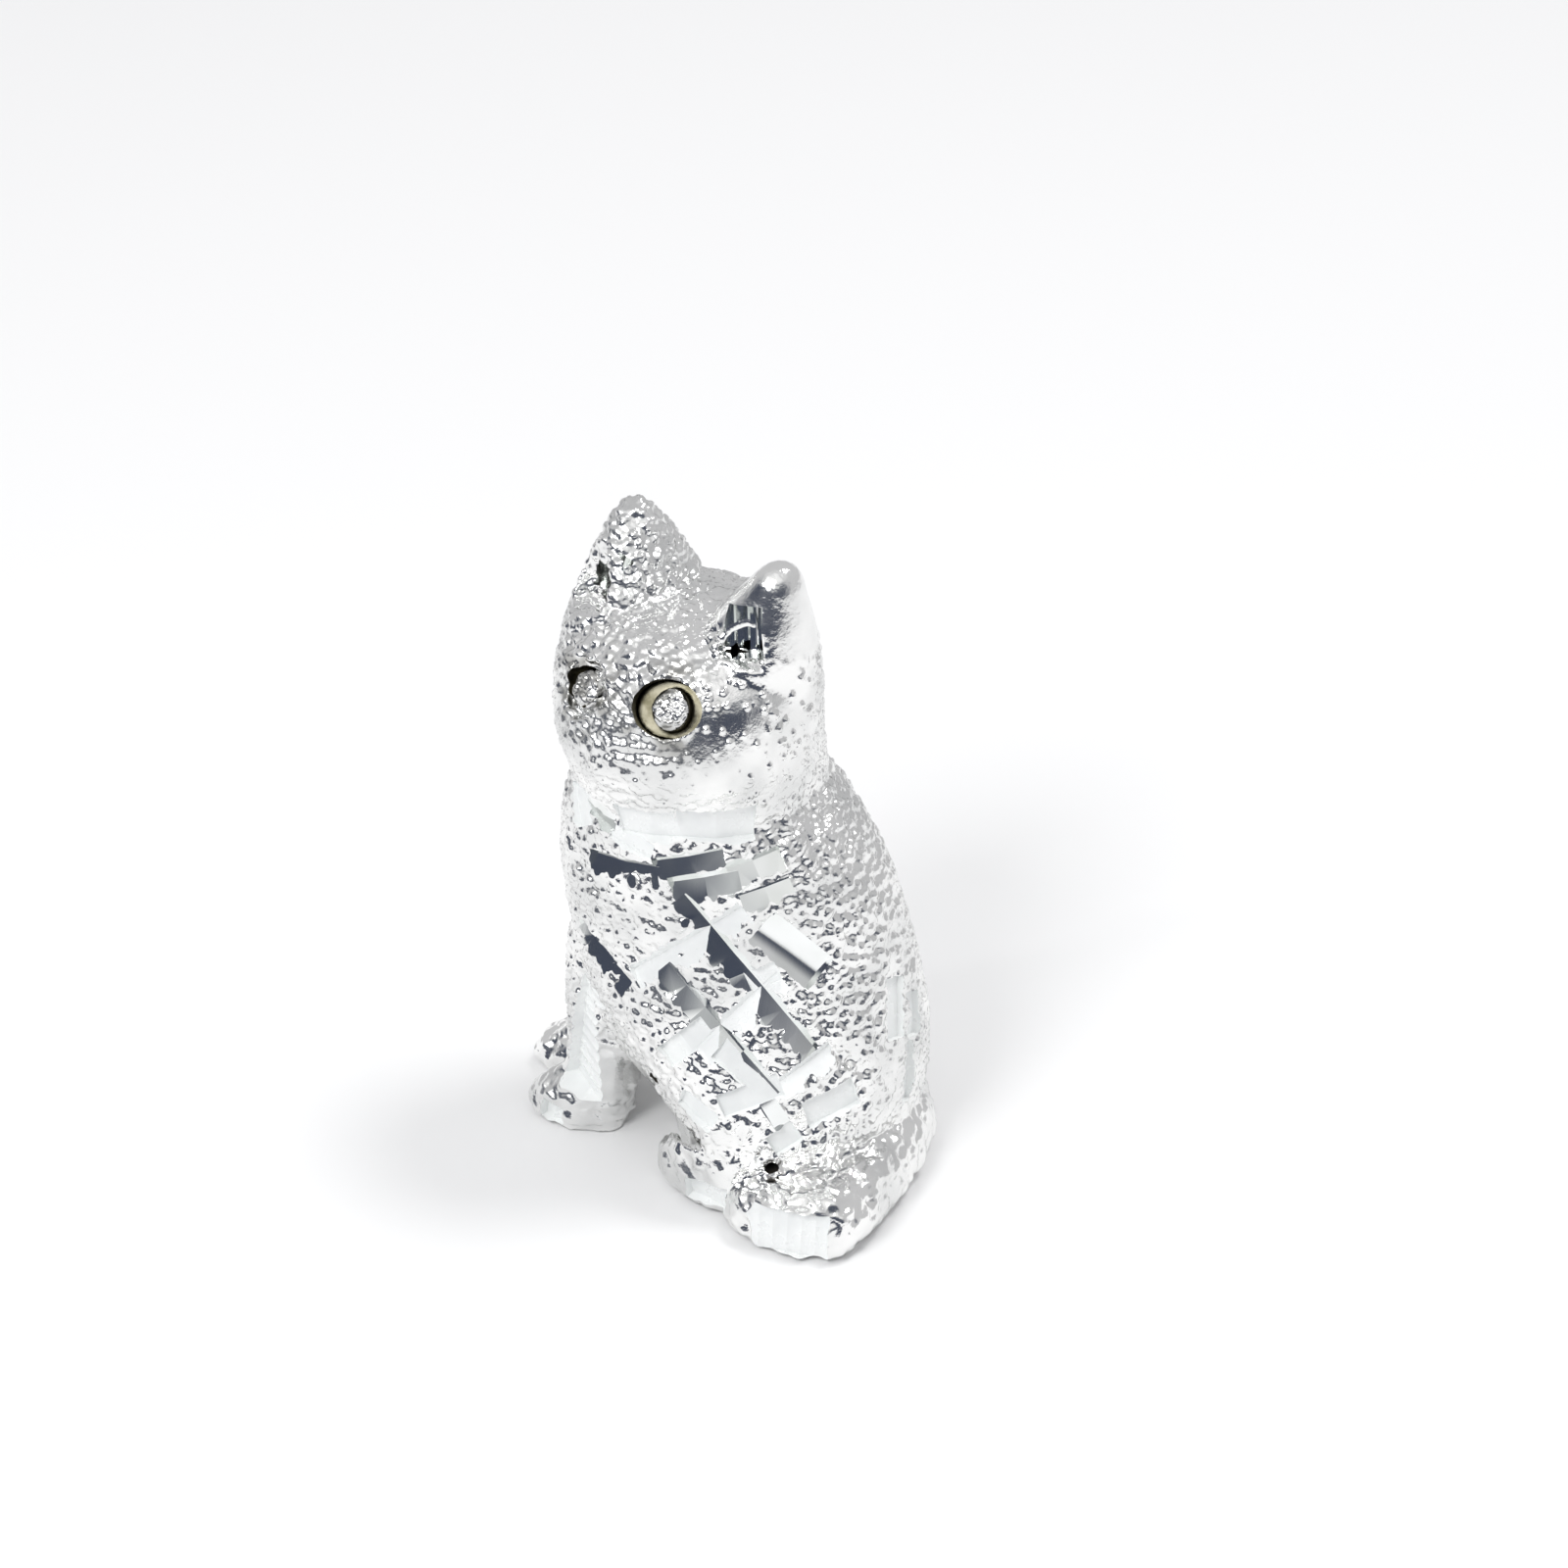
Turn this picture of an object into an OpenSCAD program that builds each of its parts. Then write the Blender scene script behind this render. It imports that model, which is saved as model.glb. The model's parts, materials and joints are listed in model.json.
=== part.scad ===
// Hollow seated cat miniature in bright-cut silver, soldered up from thin shells and small solid parts.
// Frame: +Z up, the chest faces -Y, the origin is the middle of the footprint on the ground.
// The head is turned towards +X, the cat's own left, and the tail lies along that side too.

/* [Overall] */
// Height from the ground to the ear tips
total_h = 28; // [18:0.5:60]
// Length of the footprint from toe to rump, as a share of the standard length
length_scale = 1; // [0.8:0.01:1.2]
// Width across the haunches, as a share of the standard width
width_scale = 1; // [0.8:0.01:1.2]
// Angle that the head is turned towards the cat's left
head_turn = 66; // [0:1:90]

/* [Shells] */
// Sheet thickness of the body and head shells
wall = 0.5; // [0.3:0.05:0.9]
// Radius of the round neck opening, where the head is set on
neck_r = 5.2; // [4.4:0.1:5.8]
// Length of the hidden sleeve inside the neck
sleeve_h = 2; // [1.2:0.1:4]
// Wall of the neck sleeve
sleeve_wall = 0.4; // [0.25:0.05:0.8]

/* [Ears and eyes] */
// Distance between the ear tips
ear_spread = 8.2; // [5:0.1:10]
// Radius of each ear's rounded tip
ear_tip_r = 0.75; // [0.3:0.05:1]
// Diameter of the drilled eye seat
eye_seat_d = 2.8; // [1.6:0.1:3.4]
// Diameter of the raised disc in the middle of the eye
eye_disc_d = 1.6; // [0.8:0.1:2]
// Depth of the ring groove round the disc
eye_groove = 0.45; // [0.2:0.05:0.7]

/* [Legs and tail] */
// Distance between the two foreleg centre lines
leg_pitch = 3.5; // [3:0.1:5]
// How far the right forepaw stands in front of the left one
paw_advance = 1.2; // [0:0.1:2.5]
// Height of the tail band
tail_h = 2.7; // [1.6:0.1:4]
// Thickness of the tail band
tail_t = 2.6; // [1.6:0.1:3.6]

/* [Joints and vents] */
// Diameter of the locating pegs of legs, paws, ears and tail
peg_d = 1; // [0.6:0.1:1.4]
// Clearance of a peg in its hole, each side
peg_gap = 0.04; // [0.02:0.01:0.1]
// Solder gap between a fitted part and the shell it sits on
solder_gap = 0.03; // [0.01:0.01:0.1]
// Diameter of the two vent holes
vent_d = 0.6; // [0.3:0.05:1]
// Thickness of the closing plate under the body
plate_t = 0.5; // [0.3:0.05:0.9]

/* [Bright cuts] */
// Width of the bright-cut grooves
cut_w = 1.5; // [0.8:0.1:2]
// Depth of the bright-cut grooves
cut_d = 0.28; // [0.1:0.02:0.3]

/* [Hidden] */
k = total_h / 28;
kx = k * width_scale;
ky = k * length_scale;
neck = [0, -1.5, 17.4];
steps = 20;
plate_z = 0.8;

// Trunk sections from the ground up: height, front, back, half width.
trunk_tab = [
    [0, -2.0, 7.4, 5.9],
    [0.8, -2.0, 7.4, 5.9],
    [2.4, -2.7, 7.9, 6.2],
    [4.6, -4.7, 8.1, 6.3],
    [7.2, -6.0, 8.0, 6.0],
    [10.2, -6.8, 7.4, 5.5],
    [13.2, -7.2, 6.5, 5.3],
    [15.6, -7.1, 5.15, 5.25],
    [17.4, -6.7, 3.7, 5.2]];
// Head sections from the neck up, about the neck's axis.
head_tab = [
    [0, -5.2, 5.2, 5.2],
    [1.4, -5.5, 5.0, 5.2],
    [2.8, -5.8, 4.75, 5.4],
    [4.2, -5.6, 4.6, 5.5],
    [5.6, -5.0, 4.5, 5.3],
    [6.7, -4.0, 3.9, 4.5],
    [7.4, -2.7, 2.7, 3.1],
    [7.65, -1.2, 1.2, 1.4]];
crown_z = 7.7;
brow_z = 3;

function cr(p, q, r, s, u) =
    0.5 * (2 * q + (r - p) * u + (2 * p - 5 * q + 4 * r - s) * u * u + (3 * q - p - 3 * r + s) * u * u * u);
function row(tab, i) = tab[max(0, min(len(tab) - 1, i))];
function at(tab, u) =
    let (i = min(floor(u), len(tab) - 2), f = u - i)
    [for (c = [0:3]) cr(row(tab, i - 1)[c], row(tab, i)[c], row(tab, i + 1)[c], row(tab, i + 2)[c], f)];
function bell(d, w) = exp(-d * d / (2 * w * w));
function gap_deg(a, b) = abs(((a - b + 540) % 360) - 180);

// One point of a section: t turns from +X (0) through +Y (90); off moves it inwards.
function sect(s, t, off, grow) =
    let (yc = (s[1] + s[2]) / 2, wy = (s[2] - s[1]) / 2 - off, wx = s[3] - off, g = grow)
    [(wx + g) * cos(t), yc + (wy + g) * sin(t), s[0]];
function trunk_grow(t, z) =
    0.9 * bell(gap_deg(t, -12), 38) * bell(z - 4.6, 3.1)
    + 0.9 * bell(gap_deg(t, 192), 38) * bell(z - 4.6, 3.1)
    + 0.25 * bell(gap_deg(t, -42), 24) * bell(z - 12.4, 2.2)
    + 0.25 * bell(gap_deg(t, 222), 24) * bell(z - 12.4, 2.2);
function head_grow(t, z) =
    0.5 * bell(gap_deg(t, -90), 20) * bell(z - 2.7, 1.2)
    + 0.3 * bell(gap_deg(t, -35), 22) * bell(z - 2.6, 1.3)
    + 0.1 * bell(gap_deg(t, 215), 22) * bell(z - 2.6, 1.3)
    + 0.3 * bell(gap_deg(t, 215), 30) * bell(z - 5.6, 1.1);
function trunk_pt(u, t, off) =
    let (s0 = at(trunk_tab, u), s = u > 1 ? s0 : [s0[0], each [for (c = [1:3]) trunk_tab[0][c]]],
        g = s[0] > 0.9 ? trunk_grow(t, s[0]) : 0, p = sect(s, t, off, g))
    [p[0] * kx, p[1] * ky, p[2] * k];
// Above the brow the inner skin is also drawn down, so that the crown keeps its thickness.
function sink(z, off) =
    z <= brow_z ? z : brow_z + (z - brow_z) * (crown_z - brow_z - off) / (crown_z - brow_z);
function head_pt(u, t, off) =
    let (s = at(head_tab, u), p = sect(s, t, off, head_grow(t, s[0]) * min(1, s[0] / 1.2)))
    [p[0] * k, p[1] * k, sink(p[2], off) * k];
function crown_pt(off) = [0, 0, sink(crown_z, off) * k];

// A grid of faces between rows a and b of n points each.
function strip(a, b, n) = [for (j = [0:n - 2])
    each [[a + j, a + j + 1, b + j + 1], [a + j, b + j + 1, b + j]]];
function flip(fs) = [for (f = fs) [f[2], f[1], f[0]]];

// A closed sector of a thin shell: rows of outer and inner points with flat lands between them.
// poles holds the outer and inner end points where the shell closes over, or nothing where it stays open.
module shell_sector(outer, inner, poles = []) {
    m = len(outer);
    n = len(outer[0]);
    pts = [for (r = concat(outer, inner)) each r];
    io = [for (i = [0:m - 1]) i * n];
    ii = [for (i = [0:m - 1]) (m + i) * n];
    skins = [for (i = [0:m - 2]) each concat(
        flip(strip(io[i], io[i + 1], n)), strip(ii[i], ii[i + 1], n),
        [[io[i], ii[i], ii[i + 1]], [io[i], ii[i + 1], io[i + 1]],
         [io[i] + n - 1, ii[i + 1] + n - 1, ii[i] + n - 1],
         [io[i] + n - 1, io[i + 1] + n - 1, ii[i + 1] + n - 1]])];
    a = io[m - 1];
    b = ii[m - 1];
    po = 2 * m * n;
    pi = po + 1;
    open_top = flip(strip(a, b, n));
    closed_top = concat(
        [for (j = [0:n - 2]) each [[po, a + j + 1, a + j], [b + j, b + j + 1, pi]]],
        [[a, b, pi], [a, pi, po], [a + n - 1, pi, b + n - 1], [a + n - 1, po, pi]]);
    polyhedron(concat(pts, poles),
        concat(skins, strip(io[0], ii[0], n), len(poles) ? closed_top : open_top), convexity = 8);
}

// A solid skinned over closed rings of points, with flat ends.
module skin(rings) {
    m = len(rings);
    n = len(rings[0]);
    function id(i, j) = i * n + (j % n);
    sides = [for (i = [0:m - 2], j = [0:n - 1]) each [
        [id(i, j), id(i + 1, j + 1), id(i, j + 1)], [id(i, j), id(i + 1, j), id(i + 1, j + 1)]]];
    caps = [[for (j = [0:n - 1]) j], [for (j = [0:n - 1]) (m - 1) * n + n - 1 - j]];
    polyhedron([for (r = rings) each r], concat(sides, caps), convexity = 6);
}

function rows(n, top) = [for (i = [0:n]) i * top / n];
trunk_u = rows(22, len(trunk_tab) - 1);
head_u = rows(18, len(head_tab) - 1);

module trunk_sector(t0) {
    ts = [for (j = [0:steps]) t0 + 180 * j / steps];
    shell_sector([for (u = trunk_u) [for (t = ts) trunk_pt(u, t, 0)]],
        [for (u = trunk_u) [for (t = ts) trunk_pt(u, t, wall / k)]]);
}
module trunk_solid(off) {
    skin([for (u = trunk_u) [for (j = [0:2 * steps - 1]) trunk_pt(u, -90 + 180 * j / steps, off / k)]]);
}

module head_place() {
    translate([neck[0] * kx, neck[1] * ky, neck[2] * k]) rotate([0, 0, head_turn]) children();
}
module head_sector(t0) {
    ts = [for (j = [0:steps]) t0 + 180 * j / steps];
    shell_sector([for (u = head_u) [for (t = ts) head_pt(u, t, 0)]],
        [for (u = head_u) [for (t = ts) head_pt(u, t, wall / k)]],
        [crown_pt(0), crown_pt(wall / k)]);
}
module head_solid(off) {
    skin([for (u = head_u) [for (j = [0:2 * steps - 1]) head_pt(u, -90 + 180 * j / steps, off / k)]]);
}

// A ring of n points: centre, two half axes given as vectors.
function ring(c, a, b, n) = [for (j = [0:n - 1]) c + a * cos(360 * j / n) + b * sin(360 * j / n)];

// Ear: a leaning cone with a rounded tip; side is 1 for the left ear.
ear_tab = [
    [0, 2.7, 3.7],
    [0.25, 2.5, 3.3],
    [0.45, 2.15, 2.75],
    [0.65, 1.65, 2.05],
    [0.8, 1.2, 1.45],
    [0.9, 0.92, 1.0],
    [0.96, 0.65, 0.7],
    [1, 0.3, 0.3]];
ear_base = [2.6, 0, 4.6];
ear_tip = [ear_spread / 2 / k, 0.6, 10.6];
// The right ear stands a little wider and further forward than the left one.
ear_shift = [0.45, -0.35, 0];
module ear_body(side) {
    b0 = ear_base + (side < 0 ? ear_shift : [0, 0, 0]);
    lean = atan2(ear_tip[0] - b0[0], ear_tip[2] - b0[2]);
    broad = side < 0 ? 1.08 : 0.86;
    skin([for (r = ear_tab) let (c = b0 + (ear_tip - b0) * r[0], g = r[0] > 0.85 ? ear_tip_r / 0.75 : broad)
        [for (j = [0:19]) let (t = side * 18 * j,
                a = r[1] * (r[0] > 0.85 ? g : 1) * cos(t), b = r[2] * g * sin(t))
            [side * (c[0] + a * cos(lean)), c[1] + b, c[2] - a * sin(lean)] * k]]);
}

// Foreleg sections from the ground up: height, front, back, half width.
leg_tab = [
    [0, -2.7, 1.0, 1.3],
    [0.5, -3.1, 1.3, 1.5],
    [1.2, -2.9, 1.4, 1.5],
    [1.9, -2.0, 1.5, 1.4],
    [2.8, -1.4, 1.6, 1.3],
    [5.0, -1.3, 1.9, 1.3],
    [8.0, -1.3, 2.2, 1.4],
    [10.5, -0.9, 2.5, 1.3],
    [11.8, 0.2, 2.3, 0.7]];
leg_y = -5.5;
function leg_rings(x, y) = [for (i = [0:16]) let (s = at(leg_tab, i / 2), lead = y * max(0, 1 - s[0] / 6))
    [for (j = [0:19]) let (q = sect(s, 18 * j, 0, 0))
        [(q[0] + x) * kx, (q[1] + leg_y - lead) * ky, q[2] * k]]];

// Hind leg: shin and toes beside the haunch.
paw_tab = [
    [0, -2.4, 2.4, 1.2],
    [0.5, -2.8, 2.8, 1.5],
    [1.2, -2.8, 2.8, 1.6],
    [2.0, -2.3, 2.8, 1.6],
    [3.0, -2.0, 2.8, 1.5],
    [4.4, -1.7, 2.6, 1.3],
    [5.8, -1.0, 2.2, 0.8]];
paw_at = [5.3, 0.9];
// The heel is splayed outwards by this angle.
splay = 22;
function paw_rings(side) = [for (i = [0:12]) let (s = at(paw_tab, i / 2))
    [for (j = [0:19]) let (q = sect(s, side * 18 * j, 0, 0))
        [side * (q[0] * cos(splay) + q[1] * sin(splay) + paw_at[0]) * kx,
         (q[1] * cos(splay) - q[0] * sin(splay) + paw_at[1]) * ky, q[2] * k]]];

// Tail: a band lying on the ground, round the left side. Each stop is x, y, thickness share, height share.
tail_tab = [
    [-3.0, 6.7, 0.6, 0.8],
    [-0.4, 7.3, 1, 1],
    [2.4, 7.4, 1.02, 1],
    [5.0, 7.1, 1.02, 1],
    [7.5, 6.5, 1.05, 1],
    [7.9, 4.9, 1, 0.95],
    [7.4, 3.6, 0.95, 0.9],
    [6.6, 2.2, 0.6, 0.6]];
function tail_xy(u) = let (q = at(tail_tab, u)) [q[0] * kx, q[1] * ky];
tail_n = 16;
function tail_ring(u) =
    let (q = at(tail_tab, u), c = tail_xy(u), d = tail_xy(min(u + 0.05, 7)) - tail_xy(max(u - 0.05, 0)),
        e = d / norm(d))
    [for (j = [0:tail_n - 1]) let (t = -360 * j / tail_n, w = tail_t / 2 * q[2] * cos(t),
        h = tail_h * q[3] * (sin(t) < 0 ? 0.32 * (1 + sin(t)) : 0.32 + 0.68 * sin(t)))
        [c[0] + e[1] * w, c[1] - e[0] * w, h]];
function tail_rings() = [for (i = [0:28]) tail_ring(i / 4)];

// The frame's origin is the middle of the footprint, so the whole cat is moved by this.
foot_pts = [for (r = concat(leg_rings(-leg_pitch / 2, paw_advance), tail_rings())) each r];
hip_pts = [for (u = trunk_u, j = [0:2 * steps - 1]) trunk_pt(u, -90 + 180 * j / steps, 0)];
origin = [-(min([for (q = hip_pts) q[0]]) + max([for (q = foot_pts) q[0]])) / 2,
          -(min([for (q = foot_pts) q[1]]) + max([for (q = foot_pts) q[1]])) / 2, 0];
module placed() translate(origin) children();

// Taken as one skin after its cuts, so that the trimmed surface stays a single clean shape.
module one_skin() resize([0, 0, 0]) children();

// Axes on the skin: point, along the section, outward, as a matrix.
function frame_on(p, pt, pu) =
    let (e = (pt - p) / norm(pt - p), n0 = cross(pt - p, pu - p), n = n0 / norm(n0), f = cross(n, e))
    [[e[0], f[0], n[0], p[0]], [e[1], f[1], n[1], p[1]], [e[2], f[2], n[2], p[2]], [0, 0, 0, 1]];
function trunk_frame(u, t) =
    frame_on(trunk_pt(u, t, 0), trunk_pt(u, t + 1, 0), trunk_pt(min(8, u + 0.05), t, 0));
function head_frame(u, t) = frame_on(head_pt(u, t, 0), head_pt(u, t + 1, 0), head_pt(u + 0.05, t, 0));

// Bright cuts on the left side: section number, angle, direction, length, width share.
cuts = [
    [7.26, 10, 21, 2.6, 0.7], [6.75, 8.5, 21, 2.7, 0.9], [7.26, 38, 14, 2.4, 0.7], [6.72, 36, 15, 2.3, 0.8],
    [6.74, -18, -12, 2.2, 0.8], [6.3, -44, -30, 2.6, 0.8], [5.18, -38, -46, 3.4, 0.9],
    [5.36, 16, -45, 6.8, 1], [5.74, 1, 43, 5.2, 1], [4.7, 0, -44, 5, 0.8],
    [4.7, 10, 43, 6, 1.2], [3.98, 21, 36, 5.4, 1.1], [3.1, 33, 22, 3.8, 1], [3.3, -8, -22, 3, 0.9],
    [4.0, 46, -40, 3.4, 0.9]];
leaves = [[5.66, 36, -40, 3.4, 1.5], [4.44, 72, 76, 3.2, 0.9],
    [3.48, 79, 80, 3.0, 0.8], [3.98, 84, 86, 2.6, 0.7]];
collar = [-72, -44, -14, 16, 44, 72];

// A V groove lying along X at the skin, seen by its own frame.
module vee(len, w, d) {
    rotate([90, 0, 90]) linear_extrude(len, center = true)
        polygon([[0, -d], [w / 2 * (1 + 0.9 / d), 0.9], [-w / 2 * (1 + 0.9 / d), 0.9]]);
}
// A flat facet of the same kind.
module flat(len, w, d) translate([-len / 2, -w / 2, -d]) cube([len, w, d + 1]);
module trunk_cuts() {
    for (c = cuts) multmatrix(trunk_frame(c[0], c[1])) rotate([0, 0, c[2]])
        vee(c[3] * k, c[4] * cut_w * k, cut_d * k);
    for (c = leaves) multmatrix(trunk_frame(c[0], c[1])) rotate([0, 0, c[2]])
        flat(c[3] * k, c[4] * k, cut_d * 0.7 * k);
    for (t = collar) multmatrix(trunk_frame(7.6, t)) rotate([0, 0, t > 0 ? 12 : -12])
        flat(3 * k, 1.4 * k, cut_d * 0.6 * k);
}

// Where the fitted parts are pegged to the shells.
leg_peg = [leg_pitch / 2, -6.4, 7.6];
paw_peg = [6.9, 0.6, 1.3];
tail_peg = [1.8, 8.1, 1.3];
peg_l = 2;
module leg_pin(side, d) {
    translate([side * leg_peg[0] * kx, leg_peg[1] * ky, leg_peg[2] * k]) rotate([-90, 0, 0])
        cylinder(h = peg_l * k, d = d * k);
}
module paw_pin(side, d) {
    translate([side * paw_peg[0] * kx, paw_peg[1] * ky, paw_peg[2] * k]) rotate([0, -90 * side, 0])
        cylinder(h = peg_l * k, d = d * k);
}
module tail_pin(d) {
    translate([tail_peg[0] * kx, tail_peg[1] * ky, tail_peg[2] * k]) rotate([90, 0, 0])
        cylinder(h = (peg_l + 0.2) * k, d = d * k);
}
module ear_pin(side, d) {
    translate(k * [side * 3, 0.1, 5.2]) cylinder(h = 3 * k, d = d * k);
}
hole_d = peg_d + 2 * peg_gap;

// Vents: one low on the left flank before the haunch, one above the tail.
module vents() {
    multmatrix(trunk_frame(3.13, -32)) cylinder(h = 4 * k, d = vent_d * k, center = true);
    multmatrix(trunk_frame(2.06, 11.5)) cylinder(h = 4 * k, d = vent_d * k, center = true);
}
module neck_bore() {
    translate([0, neck[1] * ky, neck[2] * k])
        cylinder(h = sleeve_h * k, r = (neck_r - wall + 0.05) * k, center = true);
}

module cut_trunk(side) {
    difference() {
        one_skin() difference() {
            mirror([side < 0 ? 1 : 0, 0, 0]) trunk_sector(-90);
            mirror([side < 0 ? 1 : 0, 0, 0]) trunk_cuts();
        }
        leg_pin(side, hole_d);
        paw_pin(side, hole_d);
        if (side > 0) tail_pin(hole_d);
        if (side > 0) vents();
        neck_bore();
    }
}

// Eye: a turned stud with a domed disc in the middle of a ring groove.
// Section number and angle of the left and of the right eye; they aren't quite alike.
eye_at = [[4, -63], [3.7, -74]];
module eye_place(side) {
    e = eye_at[side > 0 ? 0 : 1];
    mirror([side < 0 ? 1 : 0, 0, 0]) multmatrix(head_frame(e[0], e[1])) children();
}
module eye_stud() {
    r = eye_seat_d / 2 - peg_gap;
    g = eye_disc_d / 2;
    rotate_extrude() scale(k) polygon([[0, -0.9], [r, -0.9], [r, -0.06], [r - 0.12, -0.06],
        [r - 0.2, -eye_groove], [g, -eye_groove], [g, -0.04], [g * 0.7, 0.06], [g * 0.3, 0.1], [0, 0.1]]);
}
module cut_head(t0) {
    difference() {
        head_sector(t0);
        if (t0 < 0) for (side = [-1, 1]) eye_place(side)
            cylinder(h = 3 * k, d = eye_seat_d * k, center = true);
        for (side = [-1, 1]) ear_pin(side, hole_d);
        cylinder(h = sleeve_h * k, r = (neck_r - wall + 0.05) * k, center = true);
    }
}

// The barrel cut at the front of each ear, made with flat flutes.
module ear_notch(side) {
    translate([side * 4.2 * k, -2.3 * k, 8.1 * k]) rotate([14, side * 12, side * 24])
        cylinder(h = 2.4 * k, r = 1.25 * k, center = true, $fn = 12);
}
module set_ear(side) {
    union() {
        one_skin() difference() {
            ear_body(side);
            head_solid(-solder_gap);
            ear_notch(side);
        }
        ear_pin(side, peg_d);
    }
}
// The long flat facet down the outer front of each foreleg.
module leg_facet(side) {
    translate([side * (leg_pitch / 2 + 0.92) * kx, (leg_y - 0.78) * ky, 5.5 * k])
        rotate([0, 0, -side * 38]) rotate([0, side * 3, 0])
        translate([side > 0 ? 0 : -2 * k, -2 * k, -3.4 * k]) cube([2, 4, 7] * k);
}
module set_leg(side) {
    union() {
        one_skin() difference() {
            skin(leg_rings(side * leg_pitch / 2, side < 0 ? paw_advance : 0));
            trunk_solid(-solder_gap);
            leg_facet(side);
        }
        leg_pin(side, peg_d);
    }
}
module set_paw(side) {
    union() {
        one_skin() difference() {
            skin(paw_rings(side));
            trunk_solid(-solder_gap);
        }
        paw_pin(side, peg_d);
    }
}
module set_tail() {
    union() {
        one_skin() difference() {
            skin(tail_rings());
            trunk_solid(-solder_gap);
            translate([0, 0, -0.01]) linear_extrude(8 * k)
                offset(delta = solder_gap) projection() skin(paw_rings(1));
            for (i = [0:5]) let (u = 4.35 + 0.28 * i, r = tail_ring(u)[tail_n / 2])
                translate([r[0], r[1], 0.2 * k]) cylinder(h = 1.7 * k, r = 0.3 * k, $fn = 8);
        }
        tail_pin(peg_d);
    }
}

module body_left() color("silver") placed() cut_trunk(1);
module body_right() color("silver") placed() cut_trunk(-1);
module base_plate() {
    color("gainsboro") placed() linear_extrude(plate_t * k)
        polygon([for (j = [0:2 * steps - 1]) let (q = trunk_pt(0, 180 * j / steps, wall / k + solder_gap))
            [q[0], q[1]]]);
}
module neck_sleeve() {
    r = (neck_r - wall - solder_gap) * k;
    z = neck[2] - sleeve_h / 2 + 0.02;
    color("gainsboro") placed() translate([0, neck[1] * ky, z * k]) difference() {
        cylinder(h = (sleeve_h - 0.04) * k, r = r);
        translate([0, 0, -1]) cylinder(h = sleeve_h * k + 2, r = r - sleeve_wall * k);
    }
}
module face_shell() color("silver") placed() head_place() cut_head(-180);
module nape_shell() color("silver") placed() head_place() cut_head(0);
module ear_left() color("silver") placed() head_place() set_ear(1);
module ear_right() color("silver") placed() head_place() set_ear(-1);
module eye_left() color("dimgray") placed() head_place() eye_place(1) eye_stud();
module eye_right() color("dimgray") placed() head_place() eye_place(-1) eye_stud();
module foreleg_left() color("silver") placed() set_leg(1);
module foreleg_right() color("silver") placed() set_leg(-1);
module hind_paw_left() color("silver") placed() set_paw(1);
module hind_paw_right() color("silver") placed() set_paw(-1);
module tail() color("silver") placed() set_tail();

body_left();
body_right();
base_plate();
neck_sleeve();
face_shell();
nape_shell();
ear_left();
ear_right();
eye_left();
eye_right();
foreleg_left();
foreleg_right();
hind_paw_left();
hind_paw_right();
tail();
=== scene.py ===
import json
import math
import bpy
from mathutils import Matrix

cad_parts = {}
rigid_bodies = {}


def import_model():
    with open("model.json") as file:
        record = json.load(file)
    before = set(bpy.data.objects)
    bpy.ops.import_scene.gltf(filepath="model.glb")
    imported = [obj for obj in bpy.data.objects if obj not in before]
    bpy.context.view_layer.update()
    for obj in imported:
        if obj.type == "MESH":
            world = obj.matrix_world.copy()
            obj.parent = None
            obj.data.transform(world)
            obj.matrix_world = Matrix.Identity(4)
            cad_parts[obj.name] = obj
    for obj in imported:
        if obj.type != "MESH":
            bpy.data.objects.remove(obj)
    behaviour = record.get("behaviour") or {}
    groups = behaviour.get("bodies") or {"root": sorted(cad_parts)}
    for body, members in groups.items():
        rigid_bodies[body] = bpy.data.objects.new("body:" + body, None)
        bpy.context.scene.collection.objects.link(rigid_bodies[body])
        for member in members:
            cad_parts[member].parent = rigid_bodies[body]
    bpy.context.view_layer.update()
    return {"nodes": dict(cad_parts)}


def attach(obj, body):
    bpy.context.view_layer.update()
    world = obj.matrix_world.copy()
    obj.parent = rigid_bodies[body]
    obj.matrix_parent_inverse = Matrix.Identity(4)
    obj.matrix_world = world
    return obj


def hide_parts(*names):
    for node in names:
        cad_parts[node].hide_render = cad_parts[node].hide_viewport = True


bl_info = {
    "name": "Silver Cat Miniature",
    "version": (1, 0, 0),
    "blender": (4, 5, 0),
    "location": "3D View > Sidebar > Silver Cat",
    "description": "Models a hollow seated cat in grained and bright-cut silver over its packed frame",
    "category": "Object",
}

import bpy
from mathutils import Matrix, Vector
from mathutils.bvhtree import BVHTree

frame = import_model()

# All modelling is done in millimetres and brought down to metres at the end of each piece.
MM = 1000.0
MIDDLE_X = -1.035
NECK = Vector((-1.035, -1.026, 17.4))
HEAD_TURN = math.radians(66)
HEAD_FRONT = Vector((math.sin(HEAD_TURN), -math.cos(HEAD_TURN), 0))
HEAD_LEFT = Vector((math.cos(HEAD_TURN), math.sin(HEAD_TURN), 0))

# Eyes: place, the way each faces, half width and half height of the seat, the same of the disc,
# and how far the disc stands to the side of the seat's middle.
EYES = {
    "eye_left": (Vector((4.066, -0.65, 23.0)), Vector((0.834, 0.022, 0.551)).normalized(),
                 1.45, 1.2, 0.74, 0.86, 0.14),
    "eye_right": (Vector((2.82, -4.66, 22.6)), Vector((0.664, -0.565, 0.489)).normalized(),
                  1.05, 0.85, 0.74, 0.76, 0.2),
}

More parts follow.
